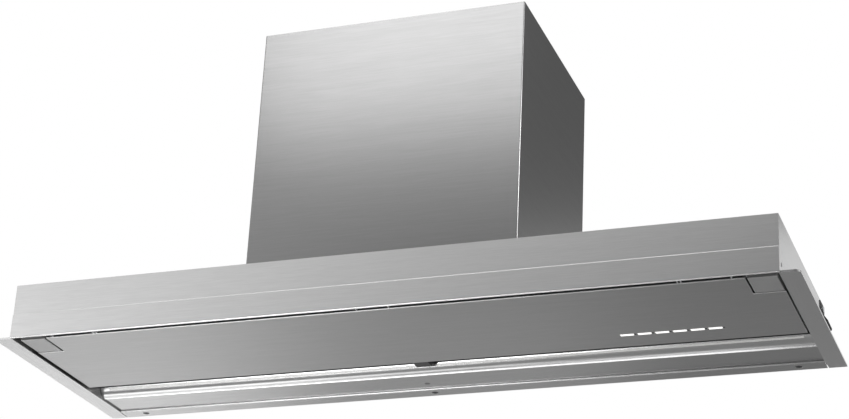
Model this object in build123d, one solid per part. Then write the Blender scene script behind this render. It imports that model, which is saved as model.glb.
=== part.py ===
from build123d import *
import math
import os

# A built-in range hood. X runs along the long face, Y from the photographed long face
# to the rear flange, Z up. The origin is the middle of the box around it, on the underside
# of the flanges. All sizes are in millimetres.

# Overall sizes of the low box and its three flanges.
overall_width = 898.0
overall_depth = 284.0
flange_width = 20.0
flange_thickness = 2.0
flange_corner = 6.0
flange_edge_radius = 1.5
body_height = 63.0
sheet = 1.0
fold_radius = 1.4

# Front face: an upper sheet and a lower band that stands proud of it.
band_proud = 1.0
band_height = 28.0
band_lip = 2.0
band_edge_radius = 0.8

# Underside: how far it sits above the flanges, and the suction gaps round the panel.
recess = 2.0
near_gap = 12.0
far_gap = 30.0
side_gap = 3.0
panel_height = 12.0
rail_clearance = 0.3
fit_gap = 0.3

# Light rail: flat strip, ridge, rounded slope with the lamp near its top, upright and shelf.
# The slope's chord has its length and angle; its arc turns evenly about the chord's angle,
# and leaves a short flat at both ends for the folds.
strip_depth = 42.0
slope_length = 16.65
slope_angle = 39.0
slope_turn = 50.0
slope_flat = 0.5
shelf_depth = 12.0
rail_leg = 22.0
diffuser_place = 5.7
diffuser_width = 2.6
diffuser_thickness = 2.2
diffuser_side = 12.0
diffuser_clearance = 0.15
diffuser_lip = 0.7
diffuser_seat_gap = 0.15
profile_depth = 6.0
profile_wall = 0.7
led_board_thickness = 1.0
led_size = 1.6
led_height = 0.7
led_pitch = 66.0
led_board_inset = 5.0
sensor_x = -24.0
sensor_from_ridge = 25.6
sensor_radius = 3.0
sensor_clearance = 0.2
sensor_length = 5.0
sensor_rim = 2.0

# Rear flange screws.
screw_from_end = 31.0
screw_from_edge = 10.5
rear_return = 16.0

# Panel hinge at the near corners.
block_width = 30.0
block_depth = 39.5
block_height = 22.0
block_wall_gap = 4.0
block_setback = 1.5
block_gap = 2.0
block_foot_height = 13.5
block_foot_wall = 4.0
block_corner = 0.8
pin_radius = 3.0
pin_from_edge = 8.0
pin_running_clearance = 0.05
pin_seat_clearance = 0.02
pin_seat_length = 16.0
knuckle_width = 6.0
knuckle_depth = 14.0
pin_hole_gap = 0.5

# Panel skin and inside.
panel_edge_radius = 0.9
stiffener_width = 30.0
stiffener_brim = 7.0
stiffener_lean = 2.0
stiffener_ends = 55.0
stiffener_gap = 6.0
tongue_x = -10.0
tongue_width = 14.0
tongue_reach = 4.0
tongue_thickness = 1.2
tongue_foot = 12.0
tongue_arm = 12.0
tongue_slot_gap = 0.5
catch_width = 19.0
catch_gap = 0.6
catch_nose = 15.0
catch_nose_bottom = 4.0
catch_nose_height = 5.0
catch_body_depth = 14.0
catch_height = 19.0
catch_corner = 1.0
leaf_thickness = 0.5
leaf_reach = 2.5
leaf_tab = 9.0
leaf_gap = 0.3

# Key row on the panel.
key_count = 6
key_width = 14.5
key_depth = 4.5
key_pitch = 19.1
key_from_end = 90.5
key_from_far_edge = 35.0
key_proud = 0.3
key_clearance = 0.3
key_flange = 1.2
key_flange_thickness = 1.0
key_height = 4.8
key_travel = 1.0
housing_wall = 1.5
housing_margin = 5.0
housing_depth = 20.0
control_board_thickness = 1.6
control_board_gap = 0.3
key_stop_gap = 1.4
key_corner = 0.4

# Filters and what carries them.
filter_z = 26.0
filter_height = 10.0
filter_width = 306.0
filter_border = 12.0
filter_front_border = 24.0
filter_edge_gap = 0.5
filter_corner = 3.0
mesh_clearance = 0.1
mesh_height = 4.0
mesh_groove = 4.0
mesh_columns = 8
mesh_rows = 4
mesh_bar = 5.0
ledge_depth = 14.0
ledge_leg = 11.0
ledge_clearance = 2.0
shelf_overlap = 6.0
divider_width = 35.0
divider_height = 12.0
baffle_gap = 1.5
baffle_lip = 11.0
latch_width = 24.0
latch_neck = 18.0
latch_reach = 6.0
latch_length = 19.0
latch_wing = 2.0
latch_clearance = 0.3
latch_travel = 5.0
latch_tab = 5.0
latch_tab_from_back = 8.0
latch_tab_thickness = 3.0
latch_pocket_gap = 0.5
latch_from_inner_end = 153.0

# Top panel of the low box.
rim_height = 10.0
opening_margin = 1.5
opening_corner = 20.0

# Motor turret.
turret_width = 309.0
turret_depth = 242.0
turret_height = 288.0
turret_setback = 15.0
turret_flange = 12.0
turret_rim = 10.0
turret_screw_y = 60.0
back_screw_inset = 40.0
hang_spacing_x = 250.0
hang_spacing_y = 190.0
hang_hole_radius = 3.25

# Fan casing: a spiral of quarter arcs that ends in a straight duct.
scroll_radius = 80.0
scroll_growth = 10.0
scroll_throat = 84.0
scroll_depth = 112.0
scroll_wall = 2.0
scroll_floor_gap = 5.0
scroll_flange = 9.0
inlet_radius = 55.0
inlet_lip = 2.5
inlet_lip_height = 3.0

# Impeller, shaft and motor.
impeller_radius = 68.0
impeller_inner_radius = 54.0
impeller_width = 100.0
blade_count = 22
blade_thickness = 1.2
blade_sweep = 10.0
blade_curve = 34.0
impeller_ring = 7.0
impeller_ring_width = 2.5
impeller_disc = 2.0
hub_radius = 12.0
hub_length = 14.0
shaft_radius = 4.0
shaft_seat_clearance = 0.02
shaft_running_clearance = 0.05
shaft_in_motor = 28.0
motor_radius = 42.0
motor_length = 58.0
motor_hub_gap = 2.0
motor_corner = 4.0
bracket_thickness = 2.0
bracket_ring_inner = 59.0
bracket_ring_outer = 68.0
bracket_arm = 12.0
bracket_arms = 3
bracket_plate = 25.0

# Outlet collar and its two damper flaps.
collar_radius = 74.5
collar_wall = 1.2
collar_height = 25.0
collar_base_radius = 88.0
collar_ledge_radius = 68.0
tab_inset = 4.0
tab_width = 14.0
tab_hook = 5.0
flap_gap = 1.8
flap_thickness = 1.2
flap_seat_gap = 0.3
flap_middle_gap = 3.6
damper_pin_radius = 1.5
damper_pin_clearance = 0.08
knuckle_radius = 3.0
flap_knuckle_start = 6.0
flap_knuckle_length = 52.0

# Power box on the top panel, beside the turret.
power_width = 180.0
power_depth = 110.0
power_height = 40.0
power_gap = 35.5
power_y = -35.0
power_wall = 1.2
lid_rim = 8.0
post_height = 5.0
post_width = 6.0
post_inset = 12.0
board_thickness = 1.6
board_margin = 6.0
gland_radius = 8.0
gland_bore = 4.2
gland_nut = 11.0
gland_nut_length = 6.0
gland_length = 24.0
gland_tail = 6.0
gland_clearance = 0.1
transformer = (42.0, 38.0, 24.0)
relay = (16.0, 20.0, 15.0)
relay_pitch = 22.0
terminals = (50.0, 12.0, 11.0)

# Spring clips, side fixings and small screws.
clip_width = 25.0
clip_thickness = 0.8
clip_from_rear = 4.0
clip_top = 61.0
clip_flat = 13.0
clip_bulge = 9.0
clip_bulge_z = 36.0
clip_end_z = 22.0
clip_bend = 2.5
rivet_radius = 1.6
rivet_head = 3.2
rivet_head_height = 1.2
rivet_clearance = 0.1
side_hole_radius = 2.5
side_hole_z = 12.0
side_hole_near = 10.0
side_hole_spacing = 230.0
small_shank = 1.9
small_head = 3.8
small_head_height = 2.2
small_shank_length = 6.0
small_clearance = 0.15

# Places worked out from the sizes above.
side_x = overall_width / 2 - flange_width
wall_x = side_x - sheet
face_y = -overall_depth / 2
fascia_y = face_y + band_proud
front_in = fascia_y + sheet
flange_y = overall_depth / 2
rear_y = flange_y - flange_width
rear_in = rear_y - sheet
rail_x = wall_x - rail_clearance
ridge_y = rear_in - strip_depth
slope = math.radians(slope_angle)
slope_top_y = ridge_y - slope_length * math.cos(slope)
slope_top_z = recess + slope_length * math.sin(slope)
half_turn = math.radians(slope_turn) / 2
slope_tangent = slope_length / 2 / math.cos(half_turn)
slope_radius = (slope_tangent - slope_flat) / math.tan(half_turn)
slope_corner_y = ridge_y - slope_tangent * math.cos(slope - half_turn)
slope_corner_z = recess + slope_tangent * math.sin(slope - half_turn)
slope_centre_y = slope_corner_y + slope_radius / math.cos(half_turn) * math.sin(slope)
slope_centre_z = slope_corner_z + slope_radius / math.cos(half_turn) * math.cos(slope)
lamp_angle = slope + diffuser_place / slope_radius
lamp_half = rail_x - diffuser_side
panel_x = wall_x - side_gap
panel_near = face_y + band_lip + near_gap
panel_far = slope_top_y - far_gap
panel_inner_z = recess + sheet
panel_top = recess + panel_height
block_out = wall_x - block_wall_gap
block_in = block_out - block_width
block_near = panel_near + block_setback
block_far = block_near + block_depth
notch_x = block_in - block_gap
notch_y = block_far + block_gap
pin_y = panel_near + pin_from_edge
pin_z = recess + (panel_height + 2 * sheet) / 2
turret_near = face_y + turret_setback
turret_far = turret_near + turret_depth
turret_y = (turret_near + turret_far) / 2
turret_top_z = body_height + turret_height
turret_in_x = turret_width / 2 - sheet
fan_half = scroll_growth / 2
fan_x = scroll_throat / 2 - fan_half - scroll_radius - 2 * scroll_growth
fan_z = body_height + scroll_floor_gap + scroll_wall + scroll_radius + 1.5 * scroll_growth


def block(x0, x1, y0, y1, z0, z1):
    """A box between two corners."""
    size = Box(x1 - x0, y1 - y0, z1 - z0)
    return Pos((x0 + x1) / 2, (y0 + y1) / 2, (z0 + z1) / 2) * size


def mirrored(shape):
    """The same piece on the other side of the middle plane."""
    return mirror(shape, about=Plane.YZ)


def folded(points, thickness=sheet, radius=fold_radius, side=Side.RIGHT):
    """A folded sheet's section: its outer line, given its thickness on one side."""
    outer = FilletPolyline(*points, radius=radius)
    return make_face(offset(outer, amount=thickness, side=side).edges())


def along_x(section, x0, x1):
    """Extrude a section drawn in Y and Z from x0 to x1."""
    return extrude(Plane.YZ.offset(x0) * section, x1 - x0)


def along_y(section, y0, y1):
    """Extrude a section drawn in X and Z from y0 to y1."""
    return extrude(Plane.XZ.offset(-y1) * section, y1 - y0)


def rod(start, direction, radius, length):
    """A round bar, or the tool that bores a hole."""
    return extrude(Plane(origin=start, z_dir=direction) * Circle(radius), length)


def screw(seat, direction):
    """A small hexagon-head screw: its head stands on seat, its shank runs along direction."""
    away = [-step for step in direction]
    head = Plane(origin=seat, z_dir=away) * RegularPolygon(small_head, 6)
    return rod(seat, direction, small_shank, small_shank_length) + extrude(head, small_head_height)


def screw_hole(seat, direction):
    """The clearance hole for a small screw, through what lies on both sides of its seat."""
    start = [place - 2 * step for place, step in zip(seat, direction)]
    return rod(start, direction, small_shank + small_clearance, small_shank_length + 3)


# Low box


def front_fascia():
    return block(-side_x, side_x, fascia_y, front_in, fold_radius, body_height)


def front_band():
    line = [(face_y, band_height), (face_y, 0), (face_y + band_lip, 0)]
    band = along_x(folded(line, thickness=min(sheet, band_proud), side=Side.LEFT), -side_x, side_x)
    top = band.edges().filter_by(Axis.X).group_by(Axis.Z)[-1].sort_by(Axis.Y)[0]
    return fillet(top, band_edge_radius)


def side_hole_places():
    near = front_in + side_hole_near
    return [near, near + side_hole_spacing]


def clip_span():
    far = rear_y - clip_from_rear
    return far - clip_width, far


def rivet_places():
    near, far = clip_span()
    return [(near + far) / 2]


def rivet_z():
    return clip_top - clip_flat / 2


def right_side_panel():
    wall = block(wall_x, side_x, front_in, rear_y, 0, body_height)
    flange = block(side_x, overall_width / 2, front_in, flange_y, 0, flange_thickness)
    corner = flange.edges().filter_by(Axis.Z).group_by(Axis.Y)[0].sort_by(Axis.X)[-1]
    panel = wall + fillet(corner, flange_corner)
    panel -= block(wall_x - 1, side_x, front_in, face_y + band_lip + fit_gap, 0, sheet + fit_gap)
    for y in side_hole_places():
        panel -= rod((wall_x - 1, y, side_hole_z), (1, 0, 0), side_hole_radius, sheet + 2)
    for y in rivet_places():
        hole = rivet_radius + rivet_clearance
        panel -= rod((wall_x - 1, y, rivet_z()), (1, 0, 0), hole, sheet + 2)
    return panel


def flange_screw_places():
    end = side_x - screw_from_end
    return [(x, flange_y - screw_from_edge) for x in (-end, sensor_x, end)]


def rear_panel():
    base = flange_thickness
    line = [(rear_in, body_height), (rear_in, base), (rear_y + rear_return, base)]
    panel = along_x(folded(line, side=Side.LEFT), -wall_x, wall_x)
    for x, y in flange_screw_places():
        panel -= rod((x, y, base - 1), (0, 0, 1), small_shank + small_clearance, sheet + 2)
    return panel


def rear_flange_strip():
    strip = block(-rail_x, rail_x, rear_in, flange_y, 0, flange_thickness)
    edge = strip.edges().filter_by(Axis.X).group_by(Axis.Z)[0].sort_by(Axis.Y)[0]
    strip = fillet(edge, flange_edge_radius)
    for x, y in flange_screw_places():
        strip -= countersunk(x, y, small_clearance)
    return strip


def countersunk(x, y, extra=0.0):
    """A countersunk screw up through the rear flange, or with extra its hole."""
    reach = flange_thickness + sheet + 4
    shank = rod((x, y, 0), (0, 0, 1), small_shank + extra, reach)
    spread = small_head - small_shank
    low = (Align.CENTER, Align.CENTER, Align.MIN)
    head = Cone(small_head + extra, small_shank + extra, spread, align=low)
    return shank + Pos(x, y, 0) * head


def flange_screws():
    return [countersunk(x, y) for x, y in flange_screw_places()]


def turret_screw_places():
    """Seats of the screws through the turret's inner base flange into the top panel."""
    x = turret_in_x - turret_flange / 2
    rows = (turret_y - turret_screw_y, turret_y + turret_screw_y)
    return [(side * x, y) for side in (-1, 1) for y in rows]


def top_panel():
    outer = block(-wall_x, wall_x, front_in, rear_in, body_height - sheet - rim_height, body_height)
    inner = block(-wall_x + sheet, wall_x - sheet, front_in + sheet, rear_in - sheet,
                  body_height - 2 * sheet - rim_height, body_height - sheet)
    half_x = turret_in_x - turret_flange - opening_margin
    half_y = turret_depth / 2 - sheet - turret_flange - opening_margin
    opening = RectangleRounded(2 * half_x, 2 * half_y, opening_corner)
    cut = extrude(Plane((0, turret_y, body_height - 2 * sheet)) * opening, 3 * sheet)
    panel = outer - inner - cut
    for x, y in turret_screw_places():
        panel -= screw_hole((x, y, body_height + sheet), (0, 0, -1))
    for y in rivet_places():
        hole = rivet_radius + rivet_clearance
        panel -= rod((-side_x, y, rivet_z()), (1, 0, 0), hole, 2 * side_x)
    return panel


# Light rail


def at_lamp(across, inward):
    """The Y and Z of a point by the lamp: distance up the slope from its middle, and inwards."""
    reach = slope_radius - inward
    y = slope_centre_y - reach * math.sin(lamp_angle) - across * math.cos(lamp_angle)
    z = slope_centre_z - reach * math.cos(lamp_angle) + across * math.sin(lamp_angle)
    return y, z


def lamp_bar(width, outer, inner, half_length):
    """A bar along X, square to the slope at the lamp, between two depths into the rail."""
    half = width / 2
    corners = [at_lamp(-half, outer), at_lamp(half, outer), at_lamp(half, inner), at_lamp(-half, inner)]
    return along_x(make_face(Polyline(*corners, close=True)), -half_length, half_length)


def light_rail():
    """One bent sheet: leg on the rear panel, flat strip, rounded slope, upright and shelf."""
    shelf_z = filter_z - sheet
    line = [(rear_in, recess + rail_leg), (rear_in, recess), (ridge_y, recess),
            (slope_corner_y, slope_corner_z), (slope_top_y, slope_top_z), (slope_top_y, shelf_z),
            (slope_top_y - shelf_depth, shelf_z)]
    bends = [fold_radius, fold_radius, slope_radius, fold_radius, fold_radius]
    rail = along_x(folded(line, radius=bends), -rail_x, rail_x)
    rail -= lamp_bar(diffuser_width, -1, sheet + 1, lamp_half)
    hole = sensor_radius + sensor_clearance
    rail -= rod((sensor_x, ridge_y + sensor_from_ridge, 0), (0, 0, 1), hole, recess + 2 * sheet)
    return rail


def light_diffuser():
    gap, seat = diffuser_clearance, sheet + diffuser_seat_gap
    face = lamp_bar(diffuser_width - 2 * gap, 0, seat, lamp_half - gap)
    return face + lamp_bar(diffuser_width + 2 * diffuser_lip, seat, diffuser_thickness, lamp_half)


def led_profile():
    """Channel behind the diffuser, open towards it."""
    width = diffuser_width + 2 * diffuser_lip
    floor = diffuser_thickness + profile_depth
    outer = lamp_bar(width, diffuser_thickness, floor, lamp_half)
    return outer - lamp_bar(width - 2 * profile_wall, 0, floor - profile_wall, lamp_half + 1)


def led_board():
    half = lamp_half - led_board_inset
    floor = diffuser_thickness + profile_depth - profile_wall
    face = floor - led_board_thickness
    board = lamp_bar(diffuser_width + 2 * diffuser_lip - 2 * profile_wall, face, floor, half)
    steps = int(half / led_pitch)
    chip = lamp_bar(led_size, face - led_height, face, led_size / 2)
    for step in range(-steps + 1, steps):
        board += Pos(step * led_pitch, 0, 0) * chip
    return board


def sensor_lens():
    """Round window let into the strip, with a rim above it."""
    place = (sensor_x, ridge_y + sensor_from_ridge)
    lens = rod((*place, recess + sensor_clearance), (0, 0, 1), sensor_radius, sensor_length)
    return lens + rod((*place, recess + sheet), (0, 0, 1), sensor_radius + sensor_rim, sensor_rim)


# Suction panel


def panel_outline():
    """Seen from below: a long rectangle with a notch at each near corner."""
    points = [(-notch_x, panel_near), (notch_x, panel_near), (notch_x, notch_y), (panel_x, notch_y),
              (panel_x, panel_far), (-panel_x, panel_far), (-panel_x, notch_y), (-notch_x, notch_y)]
    return make_face(Polyline(*points, close=True))


def key_row_y():
    return panel_far - key_from_far_edge


def key_places():
    last = panel_x - key_from_end
    return [last - step * key_pitch for step in reversed(range(key_count))]


def suction_panel():
    outline = panel_outline()
    shell = extrude(Plane((0, 0, recess)) * outline, panel_height)
    shell = fillet(shell.edges().group_by(Axis.Z)[0], panel_edge_radius)
    inside = offset(outline, amount=-sheet, kind=Kind.INTERSECTION)
    shell -= extrude(Plane((0, 0, panel_inner_z)) * inside, panel_height)
    for x in key_places():
        slot_x = key_width / 2 + key_clearance
        slot_y = key_depth / 2 + key_clearance
        y = key_row_y()
        shell -= block(x - slot_x, x + slot_x, y - slot_y, y + slot_y, 0, panel_inner_z + 1)
    half = tongue_width / 2 + 2 * tongue_slot_gap
    z0 = tongue_z() - tongue_slot_gap
    z1 = tongue_z() + tongue_thickness + tongue_slot_gap
    shell -= block(tongue_x - half, tongue_x + half, panel_far - 2 * sheet, panel_far + 1, z0, z1)
    for side in (-1, 1):
        start = (side * (notch_x - 2 * sheet), pin_y, pin_z)
        shell -= rod(start, (side, 0, 0), pin_radius + pin_hole_gap, 4 * sheet)
    return shell


def panel_backing():
    inside = offset(panel_outline(), amount=-sheet, kind=Kind.INTERSECTION)
    return extrude(Plane((0, 0, panel_top - sheet)) * inside, sheet)


def stiffener_places():
    """One stiffener beside the key housing, the other halfway from there to the near edge."""
    far = key_row_y() - (housing_depth + stiffener_width) / 2 - stiffener_gap
    return (panel_near + far) / 2, far


def panel_stiffeners():
    base, top = panel_inner_z, panel_top - sheet
    half, brim = stiffener_width / 2, stiffener_brim
    hats = []
    for y in stiffener_places():
        crown = half - brim - stiffener_lean
        line = [(y - half, base), (y - half + brim, base), (y - crown, top),
                (y + crown, top), (y + half - brim, base), (y + half, base)]
        hats.append(along_x(hat_section(line), -panel_x + stiffener_ends, panel_x - stiffener_ends))
    return hats


def hat_section(line):
    """A hat between two plates: its brim lies on the lower one and its crown meets the upper."""
    (y0, base), (y1, _), (y2, top), (y3, _), (y4, _), (y5, _) = line
    outer = [(y0, base), (y0, base + sheet), (y1, base + sheet), (y2, top), (y3, top),
             (y4, base + sheet), (y5, base + sheet), (y5, base)]
    inner = [(y4 - sheet, base), (y3 - sheet, top - sheet), (y2 + sheet, top - sheet), (y1 + sheet, base)]
    return make_face(Polyline(*outer, *inner, close=True))


def right_knuckle():
    """Bearing block inside the panel, which turns on the hinge pin."""
    outer = notch_x - sheet
    body = block(outer - knuckle_width, outer, panel_near + sheet, panel_near + sheet + knuckle_depth,
                 panel_inner_z, panel_top - sheet)
    bore = pin_radius + pin_running_clearance
    return body - rod((outer - knuckle_width - 1, pin_y, pin_z), (1, 0, 0), bore, knuckle_width + 2)


def hinge_knuckles():
    return [mirrored(right_knuckle()), right_knuckle()]


def right_hinge_block():
    """Moulded block on the side panel, whose blind bore holds the hinge pin."""
    low = block(block_in, block_out, block_near, block_far, recess, recess + block_height)
    low = fillet(low.edges().group_by(Axis.Z)[0], block_corner)
    top = filter_z - sheet - fit_gap
    foot = block(block_out - block_foot_wall, wall_x, block_near, block_far, top - block_foot_height, top)
    bore = pin_radius + pin_seat_clearance
    return low + foot - rod((block_in - 1, pin_y, pin_z), (1, 0, 0), bore, pin_seat_length + 1)


def right_hinge_pin():
    start = notch_x - sheet - knuckle_width
    end = block_in + pin_seat_length - fit_gap
    return rod((start, pin_y, pin_z), (1, 0, 0), pin_radius, end - start)


def hinge_pins():
    return [mirrored(right_hinge_pin()), right_hinge_pin()]


def tongue_z():
    return catch_nose_bottom + catch_nose_height + leaf_thickness + leaf_gap


def panel_tongue():
    """Steel tongue on the panel, which the catch's leaf holds up."""
    z, thick = tongue_z(), tongue_thickness
    left, right = tongue_x - tongue_width / 2, tongue_x + tongue_width / 2
    bend = panel_far - tongue_arm
    foot = block(left, right, bend - tongue_foot, bend, panel_inner_z, panel_inner_z + thick)
    web = block(left, right, bend, bend + thick, panel_inner_z, z + thick)
    return foot + web + block(left, right, bend, panel_far + tongue_reach, z, z + thick)


def catch_near():
    return panel_far + tongue_reach + catch_gap


def panel_catch():
    """Black snap catch on the light rail's upright, with a finger nose below."""
    half = catch_width / 2
    base, top = catch_nose_bottom, catch_nose_bottom + catch_nose_height
    body_near = slope_top_y - catch_body_depth
    nose = block(tongue_x - half, tongue_x + half, catch_near(), catch_near() + catch_nose, base, top)
    nose = fillet(nose.edges().group_by(Axis.Z)[0], catch_corner)
    body = block(tongue_x - half, tongue_x + half, body_near, slope_top_y, top - 1, base + catch_height)
    return nose + body


def catch_spring():
    """Leaf spring on the catch's nose, which reaches under the tongue."""
    left, right = tongue_x - tongue_width / 2 + 1, tongue_x + tongue_width / 2 - 1
    base = catch_nose_bottom + catch_nose_height
    near = catch_near() - catch_gap - leaf_reach
    back = slope_top_y - catch_body_depth
    leaf = block(left, right, near, back, base, base + leaf_thickness)
    return leaf + block(left, right, back - leaf_thickness, back, base, base + leaf_tab)


# Key row


def housing_top():
    """Top of the housing, which leaves the pressed keys clear of the board."""
    pressed = recess - key_proud + key_height + key_travel
    return pressed + key_stop_gap + control_board_thickness + housing_wall


def control_housing():
    places = key_places()
    x0 = places[0] - key_width / 2 - housing_margin
    x1 = places[-1] + key_width / 2 + housing_margin
    y0, y1 = key_row_y() - housing_depth / 2, key_row_y() + housing_depth / 2
    top = housing_top()
    shell = block(x0, x1, y0, y1, panel_inner_z, top)
    wall = housing_wall
    return shell - block(x0 + wall, x1 - wall, y0 + wall, y1 - wall, 0, top - wall)


def control_board():
    places = key_places()
    inset = housing_wall + control_board_gap
    x0 = places[0] - key_width / 2 - housing_margin + inset
    x1 = places[-1] + key_width / 2 + housing_margin - inset
    y0 = key_row_y() - housing_depth / 2 + inset
    top = housing_top() - housing_wall
    return block(x0, x1, y0, y0 + housing_depth - 2 * inset, top - control_board_thickness, top)


def key(x):
    """A key bar: pad in the panel's slot, and a wider flange behind the skin."""
    y, base = key_row_y(), recess - key_proud
    pad = block(x - key_width / 2, x + key_width / 2, y - key_depth / 2, y + key_depth / 2,
                base, base + key_height)
    low = panel_inner_z + key_clearance
    half_x, half_y = key_width / 2 + key_flange, key_depth / 2 + key_flange
    pad = chamfer(pad.edges().group_by(Axis.Z)[0], key_corner)
    return pad + block(x - half_x, x + half_x, y - half_y, y + half_y, low, low + key_flange_thickness)


# Filters


def filter_front():
    return front_in + ledge_depth + ledge_clearance


def filter_back():
    return slope_top_y - shelf_overlap


def filter_ends():
    start = divider_width / 2 + filter_edge_gap
    return start, start + filter_width


def filter_ledge():
    """Angle on the fascia's inner face that carries the filters' latches."""
    line = [(front_in, filter_z - ledge_leg), (front_in, filter_z), (front_in + ledge_depth, filter_z)]
    return along_x(folded(line), -rail_x, rail_x)


def filter_divider():
    """Channel between the filters, which stands on the ledge and the rail's shelf."""
    half = divider_width / 2
    top = filter_z + divider_height
    outer = block(-half, half, front_in, slope_top_y, filter_z, top)
    return outer - block(-half + sheet, half - sheet, front_in - 1, slope_top_y + 1, 0, top - sheet)


def right_baffle():
    start = filter_ends()[1] + baffle_gap
    plate = block(start, wall_x, front_in, slope_top_y, filter_z, filter_z + sheet)
    return plate + block(start, start + sheet, front_in, slope_top_y, filter_z, filter_z + baffle_lip)


def side_baffles():
    return [mirrored(right_baffle()), right_baffle()]


def latch_x():
    return filter_ends()[0] + latch_from_inner_end


def latch_wing_z():
    return filter_z + latch_clearance + latch_wing


def right_filter_frame():
    x0, x1 = filter_ends()
    y0, y1 = filter_front(), filter_back()
    z0, z1 = filter_z, filter_z + filter_height
    frame = block(x0, x1, y0, y1, z0, z1)
    frame = fillet(frame.edges().filter_by(Axis.Z), filter_corner)
    frame -= block(x0 + filter_border, x1 - filter_border, y0 + filter_front_border, y1 - filter_border,
                   z0 - 1, z1 + 1)
    frame -= mesh_space(0)
    gap, x, wing_z = latch_clearance, latch_x(), latch_wing_z()
    pocket_end = y0 - latch_reach + latch_length + latch_travel + latch_pocket_gap
    neck, wide = latch_neck / 2 + gap, latch_width / 2 + gap
    frame -= block(x - neck, x + neck, y0 - 1, pocket_end, z0 - 1, wing_z + gap)
    return frame - block(x - wide, x + wide, y0 - 1, pocket_end, wing_z - gap, wing_z + latch_wing + gap)


def mesh_space(gap):
    """The slab that a filter's mesh fills, drawn in by a gap."""
    x0, x1 = filter_ends()
    y0, y1 = filter_front() + filter_front_border, filter_back() - filter_border
    inner_x0, inner_x1 = x0 + filter_border, x1 - filter_border
    middle = filter_z + filter_height / 2
    reach = mesh_groove - gap
    return block(inner_x0 - reach, inner_x1 + reach, y0 - reach, y1 + reach,
                 middle - mesh_height / 2, middle + mesh_height / 2)


def right_filter_mesh():
    """Rigid grid in the frame's groove, with square holes set on their corners."""
    x0, x1 = filter_ends()
    y0, y1 = filter_front() + filter_front_border, filter_back() - filter_border
    inner = x1 - x0 - 2 * filter_border
    step_x, step_y = inner / mesh_columns, (y1 - y0) / mesh_rows
    side = (min(step_x, step_y) - mesh_bar) / math.sqrt(2)
    hole = Rectangle(side, side, rotation=45)
    middle = Pos((x0 + x1) / 2, (y0 + y1) / 2, filter_z)
    places = GridLocations(step_x, step_y, mesh_columns, mesh_rows)
    holes = [extrude(middle * place * hole, filter_height) for place in places]
    return mesh_space(mesh_clearance) - holes


def right_filter_latch():
    y0 = filter_front() - latch_reach
    y1 = y0 + latch_length
    base, wing_z = filter_z + latch_clearance, latch_wing_z()
    x = latch_x()
    neck0, neck1 = x - latch_neck / 2, x + latch_neck / 2
    neck = block(neck0, neck1, y0, y1, base, wing_z)
    wings = block(x - latch_width / 2, x + latch_width / 2, y0, y1, wing_z, wing_z + latch_wing)
    tab_y = y1 - latch_tab_from_back
    return neck + wings + block(neck0, neck1, tab_y, tab_y + latch_tab_thickness, base - latch_tab, base)


# Motor turret


def turret_shell():
    half = turret_width / 2
    outer = block(-half, half, turret_near, turret_far, body_height, turret_top_z)
    fronts = outer.edges().filter_by(Axis.Z).group_by(Axis.Y)[0]
    outer = fillet(fronts, fold_radius)
    inner_x, flange_x = half - sheet, half - sheet - turret_flange
    near = turret_near + sheet
    shell = outer - block(-inner_x, inner_x, near, turret_far + 1, body_height + sheet, turret_top_z + 1)
    shell -= block(-flange_x, flange_x, near + turret_flange, turret_far + 1, 0, body_height + 2 * sheet)
    back = turret_far - 2 * sheet
    for side in (-1, 1):
        x0, x1 = sorted((side * flange_x, side * turret_in_x))
        shell += block(x0, x1, back, back + sheet, body_height + sheet, turret_top_z - sheet)
    for x, y in turret_screw_places():
        shell -= screw_hole((x, y, body_height + sheet), (0, 0, -1))
    for x, z in back_screw_places():
        shell -= screw_hole((x, turret_far, z), (0, -1, 0))
    return shell


def back_screw_places():
    x = turret_in_x - turret_flange / 2
    heights = (body_height + back_screw_inset, turret_top_z - back_screw_inset)
    return [(side * x, z) for side in (-1, 1) for z in heights]


def turret_back():
    """Service cover, screwed to the turret's rear flanges."""
    base, top = body_height + sheet, turret_top_z - sheet
    plate = block(-turret_in_x, turret_in_x, turret_far - sheet, turret_far, base, top)
    for x, z in back_screw_places():
        plate -= screw_hole((x, turret_far, z), (0, -1, 0))
    return plate


def tab_angles():
    return [90.0 * step for step in range(4)]


def collar_tab(gap=0.0):
    """Hooked tab under the collar's base, or with a gap its slot in the turret's lid."""
    inner = collar_ledge_radius + tab_inset - gap
    outer = inner + sheet + 2 * gap
    half = tab_width / 2 + gap
    stem = block(inner, outer, -half, half, turret_top_z - sheet - gap, turret_top_z + gap)
    if gap:
        return stem
    foot_top = turret_top_z - sheet
    return stem + block(inner, outer + tab_hook, -half, half, foot_top - sheet, foot_top)


def turret_top():
    """Lid with a turned-down rim inside the turret's walls."""
    near, back = turret_near + sheet, turret_far - 3 * sheet
    top, rim = turret_top_z - sheet, turret_top_z - sheet - turret_rim
    plate = block(-turret_in_x, turret_in_x, near, turret_far, top, turret_top_z)
    plate += block(-turret_in_x, turret_in_x, near, back, rim, top)
    plate -= block(-turret_in_x + sheet, turret_in_x - sheet, near + sheet, back - sheet, rim - 1, top)
    centre = (0, turret_y, turret_top_z - 2 * sheet)
    plate -= rod(centre, (0, 0, 1), collar_ledge_radius, 4 * sheet)
    for x in (-hang_spacing_x / 2, hang_spacing_x / 2):
        for y in (turret_y - hang_spacing_y / 2, turret_y + hang_spacing_y / 2):
            plate -= rod((x, y, turret_top_z - 2 * sheet), (0, 0, 1), hang_hole_radius, 4 * sheet)
    for angle in tab_angles():
        turn = Pos(0, turret_y, 0) * Rot(0, 0, angle)
        plate -= turn * collar_tab(fit_gap)
    return plate


# Fan


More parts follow.
